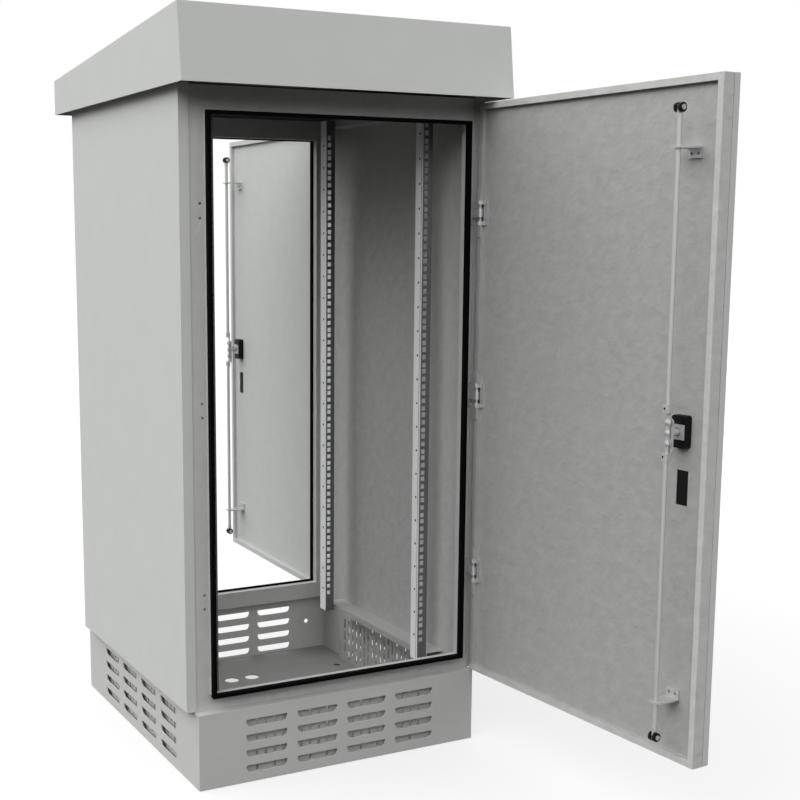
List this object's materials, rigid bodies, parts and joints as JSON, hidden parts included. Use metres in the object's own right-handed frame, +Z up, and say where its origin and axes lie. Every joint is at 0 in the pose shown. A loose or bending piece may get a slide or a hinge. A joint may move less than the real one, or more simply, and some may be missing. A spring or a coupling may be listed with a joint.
{
  "type": "roadside utility cabinet",
  "caption": "Floor-standing outdoor equipment cabinet with a sloping hood, slotted plinth, rack rails and front and rear hinged doors with rod locks.",
  "frame": {"origin": "middle of the plinth's bottom face", "axes": "+X to the right seen from the front, +Y from the front to the rear, +Z up"},
  "size_m": [0.7308, 1.8883, 1.428],
  "materials": {
    "grey_coat": "textured light grey powder coat",
    "grey_inner": "light grey powder coat",
    "zinc_steel": "zinc plated",
    "seal_rubber": "matt extruded rubber",
    "black_moulding": "fine textured moulding",
    "roller_plastic": "turned black plastic"
  },
  "bodies": {
    "cabinet": {"baffle_front": "grey_inner", "baffle_left": "grey_inner", "baffle_right": "grey_inner", "depth_rail_lower_left": "zinc_steel", "depth_rail_lower_right": "zinc_steel", "depth_rail_upper_left": "zinc_steel", "depth_rail_upper_right": "zinc_steel", "floor_plate": "grey_inner", "front_frame": "grey_coat", "front_hinge_brackets": "zinc_steel", "front_hinge_pins": "zinc_steel", "front_hinge_screws": "zinc_steel", "front_seal": "seal_rubber", "hood": "grey_coat", "hood_runner_left": "grey_coat", "hood_runner_right": "grey_coat", "left_panel": "grey_coat", "left_wall": "grey_coat", "plinth_front": "grey_coat", "plinth_left": "grey_coat", "plinth_rear": "grey_coat", "plinth_right": "grey_coat", "rail_bolts": "zinc_steel", "rail_front_left": "zinc_steel", "rail_front_right": "zinc_steel", "rail_rear_left": "zinc_steel", "rail_rear_right": "zinc_steel", "rear_frame": "grey_coat", "rear_hinge_brackets": "zinc_steel", "rear_hinge_pins": "zinc_steel", "rear_hinge_screws": "zinc_steel", "rear_seal": "seal_rubber", "right_panel": "grey_coat", "right_wall": "grey_coat", "roof_plate": "grey_coat"},
    "front_door": {"front_door_pan": "grey_coat", "front_door_skin": "grey_coat", "front_hinge_leaves": "zinc_steel", "front_lock_housing": "black_moulding", "front_handle_plate": "black_moulding", "front_rod_guides": "zinc_steel"},
    "front_lock": {"front_lock_cam": "zinc_steel"},
    "front_handle": {"front_handle_lever": "black_moulding"},
    "front_upper_bolt": {"front_upper_rod": "zinc_steel"},
    "front_upper_wheels": {"front_upper_rollers": "roller_plastic"},
    "front_lower_bolt": {"front_lower_rod": "zinc_steel"},
    "front_lower_wheels": {"front_lower_rollers": "roller_plastic"},
    "rear_door": {"rear_door_pan": "grey_coat", "rear_door_skin": "grey_coat", "rear_hinge_leaves": "zinc_steel", "rear_lock_housing": "black_moulding", "rear_handle_plate": "black_moulding", "rear_rod_guides": "zinc_steel"},
    "rear_lock": {"rear_lock_cam": "zinc_steel"},
    "rear_handle": {"rear_handle_lever": "black_moulding"},
    "rear_upper_bolt": {"rear_upper_rod": "zinc_steel"},
    "rear_upper_wheels": {"rear_upper_rollers": "roller_plastic"},
    "rear_lower_bolt": {"rear_lower_rod": "zinc_steel"},
    "rear_lower_wheels": {"rear_lower_rollers": "roller_plastic"}
  },
  "joints": [
    {"name": "front_door_hinge", "type": "hinge", "parent": "cabinet", "child": "front_door", "pos_m": [0.3, -0.338, 0.7185], "axis": [0, 0, 1], "range_deg": [-94, 14]},
    {"name": "front_lock_turn", "type": "hinge", "parent": "front_door", "child": "front_lock", "pos_m": [0.3383, -0.88566, 0.716], "axis": [-0.9976, -0.0698, 0], "range_deg": [0, 90]},
    {"name": "front_handle_lift", "type": "hinge", "parent": "front_lock", "child": "front_handle", "pos_m": [0.38493, -0.8824, 0.716], "axis": [0, 0, -1], "range_deg": [0, 30]},
    {"name": "front_upper_bolt_slide", "type": "slide", "parent": "front_door", "child": "front_upper_bolt", "axis": [0, 0, 1], "range_m": [0, 0.016]},
    {"name": "front_upper_wheels_spin", "type": "hinge", "parent": "front_upper_bolt", "child": "front_upper_wheels", "pos_m": [0.30438, -0.88803, 1.2357], "axis": [-0.0698, 0.9976, 0], "continuous": true},
    {"name": "front_lower_bolt_slide", "type": "slide", "parent": "front_door", "child": "front_lower_bolt", "axis": [0, 0, -1], "range_m": [0, 0.016]},
    {"name": "front_lower_wheels_spin", "type": "hinge", "parent": "front_lower_bolt", "child": "front_lower_wheels", "pos_m": [0.30438, -0.88803, 0.1953], "axis": [-0.0698, 0.9976, 0], "continuous": true},
    {"name": "rear_door_hinge", "type": "hinge", "parent": "cabinet", "child": "rear_door", "pos_m": [0.3, 0.338, 0.7185], "axis": [0, 0, 1], "range_deg": [-16, 92]},
    {"name": "rear_lock_turn", "type": "hinge", "parent": "rear_door", "child": "rear_lock", "pos_m": [0.31916, 0.88667, 0.716], "axis": [0.9994, -0.0349, 0], "range_deg": [0, 90]},
    {"name": "rear_handle_lift", "type": "hinge", "parent": "rear_lock", "child": "rear_handle", "pos_m": [0.36588, 0.88503, 0.716], "axis": [0, 0, 1], "range_deg": [0, 30]},
    {"name": "rear_upper_bolt_slide", "type": "slide", "parent": "rear_door", "child": "rear_upper_bolt", "axis": [0, 0, 1], "range_m": [0, 0.016]},
    {"name": "rear_upper_wheels_spin", "type": "hinge", "parent": "rear_upper_bolt", "child": "rear_upper_wheels", "pos_m": [0.28518, 0.88785, 1.2357], "axis": [-0.0349, -0.9994, 0], "continuous": true},
    {"name": "rear_lower_bolt_slide", "type": "slide", "parent": "rear_door", "child": "rear_lower_bolt", "axis": [0, 0, -1], "range_m": [0, 0.016]},
    {"name": "rear_lower_wheels_spin", "type": "hinge", "parent": "rear_lower_bolt", "child": "rear_lower_wheels", "pos_m": [0.28518, 0.88785, 0.1953], "axis": [-0.0349, -0.9994, 0], "continuous": true}
  ],
  "couplings": [
    {"joint": "front_upper_bolt_slide", "follows": "front_lock_turn", "m_per_rad": 0.010185},
    {"joint": "front_lower_bolt_slide", "follows": "front_lock_turn", "m_per_rad": 0.010185},
    {"joint": "rear_upper_bolt_slide", "follows": "rear_lock_turn", "m_per_rad": 0.010185},
    {"joint": "rear_lower_bolt_slide", "follows": "rear_lock_turn", "m_per_rad": 0.010185}
  ]
}
